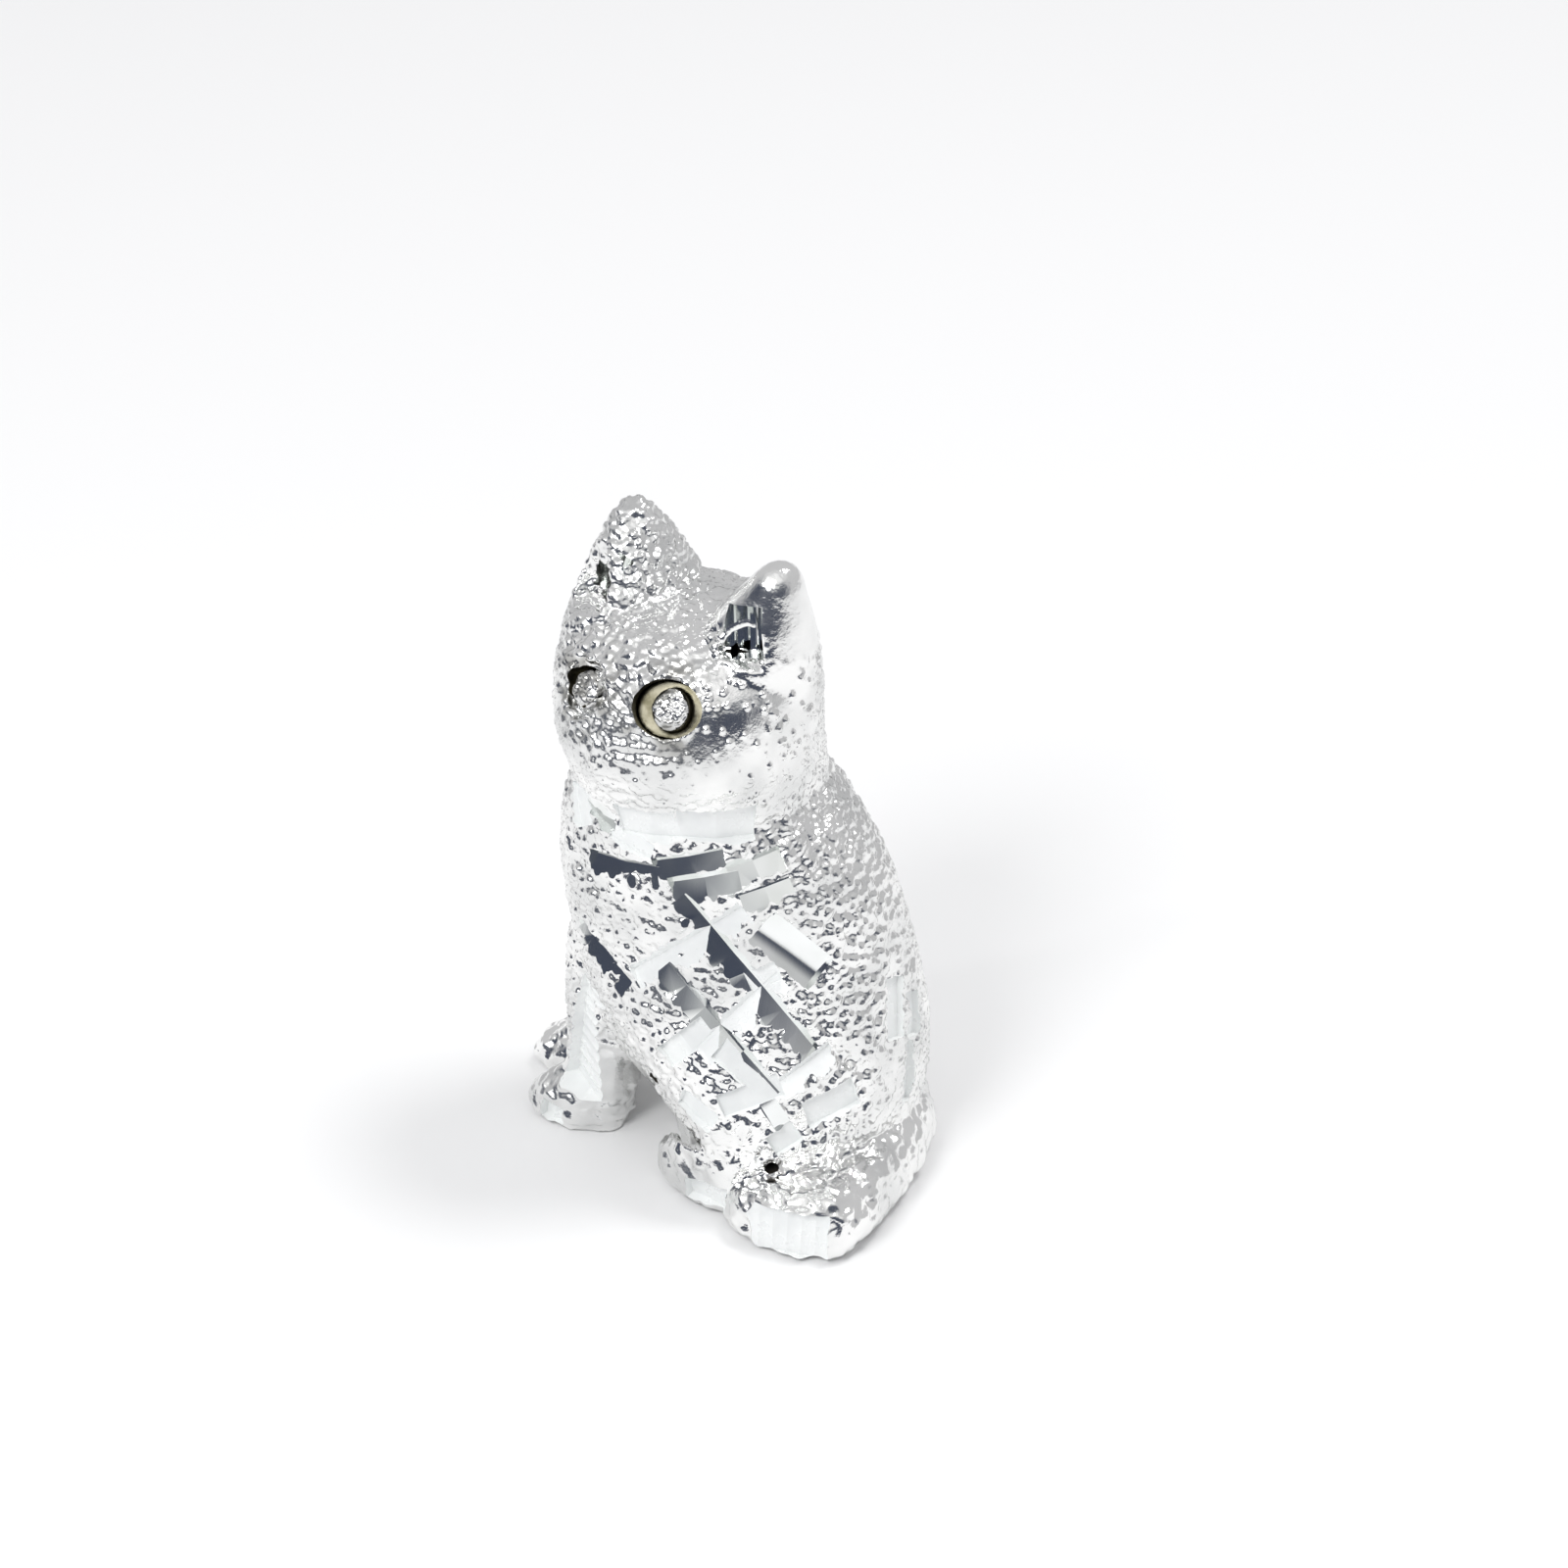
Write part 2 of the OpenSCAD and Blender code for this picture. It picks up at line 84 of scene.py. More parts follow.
# Bright cuts, each from one end to the other: its shape and finish, both ends, width, depth.
# A 'milky' finish is a near-white copy of the cut silver whose pale colour is a painted reflection; a
# 'mirror' finish is the polished cut silver itself.
BODY_CUTS = [
    ("vee", "mirror", (3.17, -4.38, 14.7), (4.22, -1.04, 15.14), 0.95, 0.26),
    ("vee", "mirror", (4.2, -1.26, 15.48), (3.62, 1.62, 16.32), 0.8, 0.22),
    ("vee", "mirror", (4.13, -0.52, 14.53), (3.7, 2.27, 15.32), 1.1, 0.28),
    ("vee", "mirror", (3.77, 1.8, 15.35), (2.53, 3.69, 15.99), 1.1, 0.28),
    ("vee", "mirror", (3.83, 2.35, 14.32), (2.65, 4.14, 14.87), 0.8, 0.22),
    ("flat", "milky", (3.64, -3.25, 16.6), (4.07, -1.29, 16.1), 0.8, 0.16),
    ("vee", "mirror", (4.28, -0.19, 14.21), (4.08, 5.45, 7.68), 1.05, 0.27),
    ("vee", "mirror", (4.29, -0.86, 10.76), (5.24, 4.36, 6.01), 1.0, 0.26),
    ("vee", "milky", (4.27, -2.15, 10.08), (3.8, 2.64, 13.88), 1.05, 0.26),
    ("vee", "milky", (5.33, 1.01, 7.63), (3.64, 3.98, 10.88), 1.0, 0.25),
    ("vee", "mirror", (2.44, -5.15, 10.88), (4.28, -2.37, 9.39), 0.9, 0.26),
    ("flat", "milky", (5.39, -0.53, 7.01), (4.86, 1.29, 8.68), 1.0, 0.2),
    ("flat", "milky", (5.17, 1.81, 7.94), (5.14, 3.69, 6.54), 1.0, 0.2),
    ("flat", "milky", (5.98, 2.06, 5.52), (5.01, 4.42, 6.53), 1.0, 0.2),
    ("vee", "milky", (5.17, 4.33, 6.29), (3.32, 6.13, 7.56), 1.0, 0.22),
    ("flat", "milky", (4.77, 5.4, 5.03), (3.2, 7.08, 5.65), 1.3, 0.22),
    ("flat", "milky", (5.74, 0.2, 5.4), (6.01, 1.93, 4.69), 0.9, 0.2),
    ("flat", "milky", (5.68, 4.22, 3.82), (4.96, 5.11, 4.43), 1.0, 0.2),
    ("flat", "mirror", (5.38, 3.77, 6.15), (5.38, 4.68, 4.71), 0.7, 0.16),
    ("flat", "milky", (4.12, 2.73, 10.6), (3.64, 3.91, 11.18), 0.9, 0.2),
    ("lens", "mirror", (3.63, 3.14, 13.17), (2.84, 5.4, 10.82), 1.7, 0.3),
]
BACK_CUTS = [
    ("flat", "milky", (0.22, 7.7, 9.46), (1.01, 8.02, 6.94), 0.85, 0.22),
    ("flat", "milky", (-0.86, 8.24, 8.22), (-0.36, 8.38, 6.27), 0.8, 0.22),
    ("flat", "milky", (0.02, 8.32, 6.18), (0.43, 8.4, 3.49), 0.7, 0.22),
]
COLLAR_CUTS = [
    ("flat", "milky", (4.0, -2.9, 17.3), (4.55, -0.19, 17.6), 1.6, 0.2),
    ("flat", "milky", (4.55, -0.19, 17.7), (3.09, 2.9, 17.6), 1.6, 0.2),
    ("flat", "milky", (1.97, -5.35, 17.5), (2.8, -4.77, 15.9), 1.3, 0.22),
    ("flat", "mirror", (2.6, -5.0, 17.4), (3.9, -3.2, 16.9), 1.0, 0.2),
]
PAW_CUTS = [
    ("flat", "milky", (1.9, -7.3, 0.75), (2.2, -6.2, 0.6), 0.9, 0.25),
    ("flat", "milky", (5.8, 0.5, 1.0), (6.6, 2.4, 1.0), 1.1, 0.25),
]
# Fluted facets are straight: their ends, width, depth, the pitch of the flutes, the way they face.
# These facets take the pale cut finish, whose colour is a painted reflection.
FLUTED = [
    ((3.0, -4.45, 7.9), (1.75, -5.45, 1.9), 2.3, 0.42, 0.62, (0.755, -0.655, 0.0)),
    ((8.0, 3.7, 1.25), (8.0, 7.35, 1.25), 2.0, 0.45, 0.62, (0.98, 0.0, 0.15)),
]
# Fluted cut in front of each ear, in the head's own left, front and up: its ends and the way it faces.
EAR_CUT = [(2.6, 0.7, 7.8), (4.2, 0.2, 8.05), (0.55, 0.75, 0.3)]
VENTS = [(Vector((4.96, -1.79, 4.92)), Vector((0.8, -0.56, -0.23)), 0.66),
         (Vector((5.6, 4.23, 2.5)), Vector((0.92, 0.35, -0.1)), 0.62)]

SHELLS = ("body_left", "body_right", "face_shell", "nape_shell")
FITTINGS = ("ear_left", "ear_right", "foreleg_left", "foreleg_right",
            "hind_paw_left", "hind_paw_right", "tail")
# The last slot is the pale cut finish, a painted reflection.
SKIN, BRIGHT, INSIDE, TARNISHED, PAINTED_REFLECTION_CUT = range(5)

# Rough metal in the crevice between the haunch and the tail: middle and radius of each ball.
CREVICE = (((5.4, 4.9, 1.25), 1.15), ((5.1, 5.9, 1.2), 1.2), ((4.3, 6.9, 1.2), 1.15))
# Middles of the places that are not plain grain.
EAR_TIP = Vector((0.1, 3.0, 27.0))
CHEEK = Vector((2.9, 2.9, 21.4))
ARCH = Vector((2.9, -3.6, 2.9))
# Levels across one grain, from its top to the hollow beside it.
DOME = [(0.0, 1.0), (0.35, 0.85), (0.7, 0.35), (1.0, 0.0)]
EXTRA_WALL = 0.1  # added to the wall that is asked for, since cuts and lumps eat into it
DRAWN_BACK = 1.3  # how far the haunch's lower front is drawn back
FAR = 40  # well outside the cat
LAMP_AIM = Vector((0, 0, 0.012))


# ---------------------------------------------------------------- shader helpers
class Value:
    """A node socket or a number that takes part in plain arithmetic."""

    def __init__(self, bench, socket):
        self.bench, self.socket = bench, socket

    def _maths(self, kind, a, b):
        return self.bench.out("ShaderNodeMath", {"operation": kind}, {0: a, 1: b})

    def __add__(self, other):
        return self._maths("ADD", self, other)

    def __rsub__(self, other):
        return self._maths("SUBTRACT", other, self)

    def __mul__(self, other):
        return self._maths("MULTIPLY", self, other)

    __radd__ = __add__
    __rmul__ = __mul__


class Bench:
    """The node bench of one material."""

    def __init__(self, name):
        self.material = bpy.data.materials.new(name)
        self.material.use_nodes = True
        self.tree = self.material.node_tree
        self.tree.nodes.clear()
        self.surface = self.tree.nodes.new("ShaderNodeBsdfPrincipled")
        end = self.tree.nodes.new("ShaderNodeOutputMaterial")
        self.tree.links.new(self.surface.outputs[0], end.inputs[0])

    def node(self, kind, settings=None, inputs=None):
        new = self.tree.nodes.new(kind)
        for key, value in (settings or {}).items():
            if key == "stops":
                ramp = new.color_ramp
                while len(ramp.elements) > 1:
                    ramp.elements.remove(ramp.elements[-1])
                ramp.elements[0].position, ramp.elements[0].color = value[0]
                for place, colour in value[1:]:
                    ramp.elements.new(place).color = colour
            else:
                setattr(new, key, value)
        for key, value in (inputs or {}).items():
            self.feed(new.inputs[key], value)
        return new

    def feed(self, socket, value):
        if isinstance(value, Value):
            self.tree.links.new(value.socket, socket)
        else:
            socket.default_value = value

    def out(self, kind, settings=None, inputs=None, output=0):
        return Value(self, self.node(kind, settings, inputs).outputs[output])

    def coordinates(self):
        return self.out("ShaderNodeTexCoord", output=3)

    def mix(self, factor, a, b):
        made = self.node("ShaderNodeMix", {"data_type": "RGBA"})
        for key, value in ((0, factor), (6, a), (7, b)):
            self.feed(made.inputs[key], value)
        return Value(self, made.outputs[2])

    def noise(self, scale, detail=2.0, roughness=0.5, stretch=None):
        place = self.coordinates()
        if stretch:
            place = self.out("ShaderNodeMapping", None,
                             {0: place, 2: stretch[0], 3: stretch[1]})
        return self.out("ShaderNodeTexNoise", None,
                        {"Vector": place, "Scale": scale, "Detail": detail, "Roughness": roughness})

    def ramp(self, value, low, high):
        return self.out("ShaderNodeMapRange", {"interpolation_type": "SMOOTHSTEP"},
                        {"Value": value, "From Min": low, "From Max": high})

    def near(self, place, inner, outer):
        """1 at a place in metres, falling to 0 between two distances."""
        gap = self.out("ShaderNodeVectorMath", {"operation": "DISTANCE"},
                       {0: self.coordinates(), 1: tuple(place)}, 1)
        return 1 - self.ramp(gap, inner, outer)

    def bump(self, strength, distance, height):
        return self.out("ShaderNodeBump", None,
                        {"Strength": strength, "Distance": distance, "Height": height})

    def finish(self, **inputs):
        for key, value in inputs.items():
            self.feed(self.surface.inputs[key.replace("_", " ")], value)
        return self.material


def rgb(colour):
    return (*colour, 1.0)


# ---------------------------------------------------------------- modelling helpers
def rest():
    if bpy.context.object and bpy.context.object.mode != "OBJECT":
        bpy.ops.object.mode_set(mode="OBJECT")
    bpy.ops.object.select_all(action="DESELECT")


def take(*pieces):
    rest()
    for piece in pieces:
        piece.select_set(True)
    bpy.context.view_layer.objects.active = pieces[0]
    return pieces[0]


def modify(piece, kind, **settings):
    take(piece)
    extra = piece.modifiers.new(kind, kind)
    for key, value in settings.items():
        setattr(extra, key, value)
    bpy.ops.object.modifier_apply(modifier=extra.name)
    return piece


def edit(piece, step):
    """Runs one edit-mode step on the whole mesh of a piece."""
    take(piece)
    bpy.ops.object.mode_set(mode="EDIT")
    bpy.ops.mesh.select_all(action="SELECT")
    step()
    bpy.ops.object.mode_set(mode="OBJECT")
    return piece


def drop(*pieces):
    for piece in pieces:
        bpy.data.objects.remove(piece)


def copy_of(piece, name):
    new = bpy.data.objects.new(name, piece.data.copy())
    bpy.context.scene.collection.objects.link(new)
    return new


def cad_copy(node):
    new = copy_of(frame["nodes"][node], node + "_copy")
    new.data.materials.clear()
    take(new)
    new.scale = (MM, MM, MM)
    bpy.ops.object.transform_apply(location=False, rotation=False, scale=True)
    return edit(new, lambda: bpy.ops.mesh.remove_doubles(threshold=0.002))


def join(name, pieces):
    whole = take(*pieces)
    bpy.ops.object.join()
    whole.name = name
    return whole


def swell(piece, by):
    return modify(piece, "DISPLACE", strength=by, mid_level=0.0)


def remesh(piece, voxel):
    return modify(piece, "REMESH", mode="VOXEL", voxel_size=voxel)


def relax(piece, times):
    return modify(piece, "SMOOTH", factor=0.5, iterations=times)


def keep_outer_skin(piece):
    """Keeps the loose part that holds the highest point."""
    take(piece)
    top = max(piece.data.vertices, key=lambda v: v.co.z).index
    bpy.ops.object.mode_set(mode="EDIT")
    bpy.ops.mesh.select_all(action="DESELECT")
    bpy.ops.object.mode_set(mode="OBJECT")
    piece.data.vertices[top].select = True
    bpy.ops.object.mode_set(mode="EDIT")
    bpy.ops.mesh.select_mode(type="VERT")
    bpy.ops.mesh.select_linked()
    bpy.ops.mesh.select_all(action="INVERT")
    bpy.ops.mesh.delete(type="VERT")
    bpy.ops.object.mode_set(mode="OBJECT")
    return piece


def carve(piece, tool, operation="DIFFERENCE"):
    return modify(piece, "BOOLEAN", operation=operation, object=tool, solver="MANIFOLD")


def carve_all(piece, tools):
    group = bpy.data.collections.new("tools")
    for tool in tools:
        group.objects.link(tool)
    modify(piece, "BOOLEAN", operation="DIFFERENCE", operand_type="COLLECTION",
           collection=group, solver="MANIFOLD")
    bpy.data.collections.remove(group)
    drop(*tools)
    return piece


def give_slots(piece, index=SKIN):
    """Every working mesh holds the same slots, so a cut keeps its tool's finish."""
    piece.data.materials.clear()
    for material in FINISH["slots"]:
        piece.data.materials.append(material)
    piece.data.polygons.foreach_set("material_index", [index] * len(piece.data.polygons))
    return piece


def cutter(name, rows, finish):
    """A closed cutter skinned over equal rows of points."""
    n = len(rows[0])
    faces = [list(range(n))[::-1], [(len(rows) - 1) * n + j for j in range(n)]]
    for i in range(len(rows) - 1):
        for j in range(n):
            a, b = i * n + j, i * n + (j + 1) % n
            faces.append([a, b, b + n, a + n])
    mesh = bpy.data.meshes.new(name)
    mesh.from_pydata([p for row in rows for p in row], [], faces)
    tool = bpy.data.objects.new(name, mesh)
    bpy.context.scene.collection.objects.link(tool)
    edit(tool, lambda: bpy.ops.mesh.normals_make_consistent(inside=False))
    return give_slots(tool, finish)


def section(shape, here, up, across, width, depth):
    """One section of a cutter that reaches depth under the skin and 1 mm over it."""
    w, rise = width / 2, 1.0
    if shape == "vee":
        # The floor lies nearer the upper side, so the lower wall is the broad one.
        floor = here - up * depth + across * (0.22 * width)
        high, low = 1.28 * w, 0.72 * w
        steep, broad = low / depth, high / depth
        return [floor, here + up * rise + across * (w + rise * steep * 0.6),
                here + up * rise - across * (w + rise * broad * 0.9)]
    if shape == "lens":
        arc = [(-1, 0.0), (-0.75, 0.5), (-0.4, 0.87), (0, 1.0),
               (0.4, 0.87), (0.75, 0.5), (1, 0.0)]
        return ([here - up * depth * d + across * w * a for a, d in arc]
                + [here + up * rise + across * w, here + up * rise - across * w])
    return [here - up * depth - across * w, here - up * depth + across * w,
            here + up * rise + across * (w + 0.15), here + up * rise - across * (w + 0.15)]


def groove_tool(skin, cut):
    """A cutter that follows the skin from one end of a cut to the other."""
    shape, finish, start, end, width, depth = cut
    start, end = Vector(start), Vector(end)
    here, up, _, _ = skin.find_nearest((start + end) / 2)
    length = (end - start).length
    count = max(1, round(length / 2.4))
    step = length / (2 * count)
    run = end - start
    run = (run - up * run.dot(up)).normalized()
    path = {0: (here, up, run)}
    for way in (1, -1):
        at, out, go = here, up, run * way
        for i in range(1, count + 1):
            after, turned, _, _ = skin.find_nearest(at + go * step)
            out = (out * 0.5 + turned * 0.5).normalized()
            go = after - at
            go = (go - out * go.dot(out)).normalized()
            at = after
            path[i * way] = (at, out, go * way)
    rows = []
    for i in sorted(path):
        at, out, go = path[i]
        across = out.cross(go)
        rows.append(section(shape, at, out, across if across.z > 0 else -across, width, depth))
    return cutter("groove", rows, BRIGHT if finish == "mirror" else PAINTED_REFLECTION_CUT)


def fluted_tool(start, end, width, depth, pitch, face, index=PAINTED_REFLECTION_CUT):
    """A straight cutter whose floor is worked in flutes that lie across it."""
    start, end, out = Vector(start), Vector(end), Vector(face).normalized()
    run = end - start
    out = (out - run * out.dot(run) / run.length_squared).normalized()
    across = out.cross(run.normalized())
    count = 8 * round(run.length / pitch)
    rows = []
    for i in range(count + 1):
        ripple = 0.07 * abs(math.sin(math.pi * i / 8))
        rows.append(section("flat", start + run * i / count, out, across, width, depth + ripple))
    return cutter("flutes", rows, index)


def across_middle(p):
    return (2 * MIDDLE_X - p[0], *p[1:])


def mirrored(cut):
    shape, finish, start, end, *sizes = cut
    return (shape, finish, across_middle(start), across_middle(end), *sizes)


def stretch(piece, centre, axis, share):
    """Scales a piece about a centre along one axis."""
    for v in piece.data.vertices:
        v.co += axis * ((v.co - centre).dot(axis) * (share - 1))
    return piece


def drill(place, out, radius, depth, index=INSIDE, sides=32):
    rest()
    turn = out.to_track_quat("Z", "Y").to_euler()
    bpy.ops.mesh.primitive_cylinder_add(vertices=sides, radius=radius, depth=depth * 2,
                                        location=place, rotation=turn)
    new = bpy.context.object
    bpy.ops.object.transform_apply(location=True, rotation=True, scale=True)
    return give_slots(new, index)


def closed_copies(nodes):
    """Copies of CAD solids, a hair larger so that they touch, with the eyes and vents stopped."""
    parts = [swell(cad_copy(node), 0.04) for node in (*nodes, "base_plate", *EYES)]
    for place, out, width in VENTS:
        parts.append(drill(place - out.normalized() * 0.33, out, width * 0.8, 0.33))
    for piece in parts:
        if piece.name.startswith(("body", "Cylinder")):
            for v in piece.data.vertices:
                v.co.y += DRAWN_BACK * haunch_front(v.co)
    return parts


def haunch_front(p):
    """How much of the haunch's lower front is drawn back, off the arch behind the foreleg."""
    return (ease((abs(p.x - MIDDLE_X) - 2.6) / 1.4) * ease((8.5 - p.z) / 3.5)
            * ease((2.0 - p.y) / 3.0))


def ease(t):
    t = min(1.0, max(0.0, t))
    return t * t * (3 - 2 * t)


def weigh(piece, name, rule):
    """Writes a vertex group from a rule on each point, in sixteen even steps."""
    group = piece.vertex_groups.new(name=name)
    steps = {}
    for v in piece.data.vertices:
        steps.setdefault(round(16 * rule(v.co)), []).append(v.index)
    for level, members in steps.items():
        if level:
            group.add(members, level / 16, "REPLACE")
    return name


def texture(name, kind, **settings):
    new = bpy.data.textures.new(name, kind)
    for key, value in settings.items():
        if key == "stops":
            new.use_color_ramp = True
            ramp = new.color_ramp
            ramp.interpolation = "EASE"
            while len(ramp.elements) > 1:
                ramp.elements.remove(ramp.elements[-1])
            ramp.elements[0].position = value[0][0]
            ramp.elements[0].color = (value[0][1],) * 3 + (1,)
            for place, level in value[1:]:
                ramp.elements.new(place).color = (level,) * 3 + (1,)
        else:
            setattr(new, key, value)
    return new


def emboss(piece, pattern, strength, group, mid=0.5):
    return modify(piece, "DISPLACE", texture=pattern, strength=strength, mid_level=mid,
                  texture_coords="LOCAL", vertex_group=group)


def crisp_edges(piece):
    """Smooth faces, with a crisp edge where the finish changes or two bright cuts meet."""
    bpy.ops.object.shade_smooth()
    mesh = piece.data
    met = {}
    for polygon in mesh.polygons:
        for key in polygon.edge_keys:
            met.setdefault(key, []).append(polygon.index)
    for edge in mesh.edges:
        faces = [mesh.polygons[i] for i in met.get(edge.key, ())]
        if len(faces) == 2:
            a, b = faces
            if a.material_index != b.material_index:
                edge.use_edge_sharp = True
            elif a.material_index != SKIN:
                edge.use_edge_sharp = a.normal.dot(b.normal) < 0.975


def done(piece, name, slot, *nodes):
    """Brings a finished piece down to metres and hands it to the frame."""
    piece.name = name
    piece.data.name = name
    for v in piece.data.vertices:
        v.co.z = max(v.co.z, 0.0)
    modify(piece, "TRIANGULATE", quad_method="BEAUTY", ngon_method="BEAUTY")
    take(piece)
    piece.scale = (1 / MM,) * 3
    bpy.ops.object.transform_apply(location=True, rotation=True, scale=True)
    crisp_edges(piece)
    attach(piece, "root")
    if nodes:
        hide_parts(*nodes)
    return piece


# ---------------------------------------------------------------- finishes
FINISH = {}
WORK = {}


def make_finishes(looks):
    def silver_skin():
        b = Bench("grained_silver")
        cloud = b.noise(260, 3.0, 0.55)
        fine = b.noise(4200, 2.0, 0.6)
        near_eye = 0
        for place, *_ in EYES.values():
            near_eye = b.near(place / MM, 0.0014, 0.0026) + near_eye
        stain = near_eye * b.ramp(b.noise(900, 2.0, 0.5), 0.42, 0.62)
        colour = b.mix(b.ramp(cloud, 0.35, 0.68), rgb(looks.silver), rgb(looks.silver_shade))
        colour = b.mix(stain * 0.55, colour, rgb(looks.tarnish))
        bump = b.bump(0.6, 0.00004, fine)
        return b.finish(Base_Color=colour, Metallic=1.0,
                        Roughness=0.12 + 0.14 * b.ramp(cloud, 0.3, 0.7) + 0.1 * stain, Normal=bump)

    def bright_cut():
        b = Bench("bright_cut_silver")
        patch = b.noise(420, 2.0, 0.5)
        lines = b.noise(900, 2.0, 0.5, ((0.6, 0.3, 0.2), (1.0, 14.0, 1.0)))
        colour = b.mix(b.ramp(patch, 0.35, 0.7), rgb(looks.cut), rgb(looks.cut_shade))
        bump = b.bump(0.06, 0.00002, lines)
        return b.finish(Base_Color=colour, Metallic=1.0,
                        Roughness=0.07 + 0.1 * b.ramp(patch, 0.35, 0.75), Normal=bump)

    def cut_painted_reflection():
        # A near-white, barely metal copy of the cut silver: its pale colour is a painted reflection of
        # the bright surroundings, and the patches only vary it at random.
        b = Bench("cut_silver_painted_reflection")
        patch = b.noise(650, 4.0, 0.6)
        lines = b.noise(1300, 2.0, 0.5, ((0.5, 0.2, 0.4), (1.0, 9.0, 1.0)))
        colour = b.mix(b.ramp(patch, 0.35, 0.7), (0.97, 0.985, 0.975, 1), rgb(looks.cut))
        bump = b.bump(0.15, 0.00003, lines)
        return b.finish(Base_Color=colour, Metallic=0.08,
                        Roughness=0.24 + 0.14 * b.ramp(patch, 0.3, 0.75), Normal=bump)

    def inside():
        b = Bench("inside_painted_shade")
        # The near-black colour of the inside walls and vent walls is painted shade of the hollow; the
        # noise only varies it at random.
        mottle = b.noise(1500, 2.0, 0.5)
        return b.finish(Base_Color=b.mix(mottle, (0.05, 0.047, 0.04, 1), (0.11, 0.1, 0.085, 1)),
                        Metallic=0.6, Roughness=0.5 + 0.2 * mottle)

    def tarnished():
        b = Bench("tarnished_silver")
        mottle = b.noise(1400, 3.0, 0.6)
        colour = b.mix(b.ramp(mottle, 0.3, 0.7), rgb(looks.tarnish), (0.25, 0.235, 0.18, 1))
        bump = b.bump(0.2, 0.00003, mottle)
        return b.finish(Base_Color=colour, Metallic=1.0,
                        Roughness=0.22 + 0.2 * mottle, Normal=bump)

    def satin():
        b = Bench("satin_silver")
        brushed = b.noise(700, 3.0, 0.6, ((0, 0, 0.4), (1.0, 12.0, 1.0)))
        colour = b.mix(brushed, rgb(looks.silver), rgb(looks.silver_shade))
        bump = b.bump(0.15, 0.00003, brushed)
        return b.finish(Base_Color=colour, Metallic=1.0,
                        Roughness=0.25 + 0.15 * brushed, Normal=bump)

    # In the order of the slot numbers SKIN to PAINTED_REFLECTION_CUT.
    FINISH["slots"] = [silver_skin(), bright_cut(), inside(), tarnished(), cut_painted_reflection()]
    FINISH["satin"] = satin()


# ---------------------------------------------------------------- sizes and looks
class SILVERCAT_PG_sizes(bpy.types.PropertyGroup):
    voxel: bpy.props.FloatProperty(
        name="Skin Fineness", description="Edge of the little cells that the skin is made of",
        default=0.000109, min=0.00005, max=0.0005, unit="LENGTH", subtype="DISTANCE", precision=5)
    grain: bpy.props.FloatProperty(
        name="Grain Size", description="Distance between the grains of the rough skin",
        default=0.00036, min=0.0002, max=0.001, unit="LENGTH", subtype="DISTANCE", precision=5)
    grain_height: bpy.props.FloatProperty(
        name="Grain Height", description="Height of the grains over the hollows between them",
        default=0.00017, min=0.0, max=0.0005, unit="LENGTH", subtype="DISTANCE", precision=5)
    bead_height: bpy.props.FloatProperty(
        name="Bead Height", description="Height of the spaced beads on the side of the head",
        default=0.00017, min=0.0, max=0.0005, unit="LENGTH", subtype="DISTANCE", precision=5)
    wall: bpy.props.FloatProperty(
        name="Shell Wall", description="Thickness of the hollow shells",
        default=0.00055, min=0.0003, max=0.001, unit="LENGTH", subtype="DISTANCE", precision=5)


class SILVERCAT_PG_looks(bpy.types.PropertyGroup):
    silver: bpy.props.FloatVectorProperty(
        name="Silver", description="Colour of the clean silver",
        default=(0.93, 0.93, 0.92), size=3, min=0, max=1, subtype="COLOR")
    silver_shade: bpy.props.FloatVectorProperty(
        name="Silver Shade", description="Colour of the duller patches",
        default=(0.74, 0.745, 0.74), size=3, min=0, max=1, subtype="COLOR")
    cut: bpy.props.FloatVectorProperty(
        name="Bright Cut", description="Colour of the cut facets",
        default=(0.9, 0.915, 0.91), size=3, min=0, max=1, subtype="COLOR")
    cut_shade: bpy.props.FloatVectorProperty(
        name="Bright Cut Shade", description="Colour of the milky patches on the facets",
        default=(0.8, 0.82, 0.8), size=3, min=0, max=1, subtype="COLOR")
    tarnish: bpy.props.FloatVectorProperty(
        name="Tarnish", description="Colour of the tarnish round the eyes",
        default=(0.085, 0.078, 0.05), size=3, min=0, max=1, subtype="COLOR")


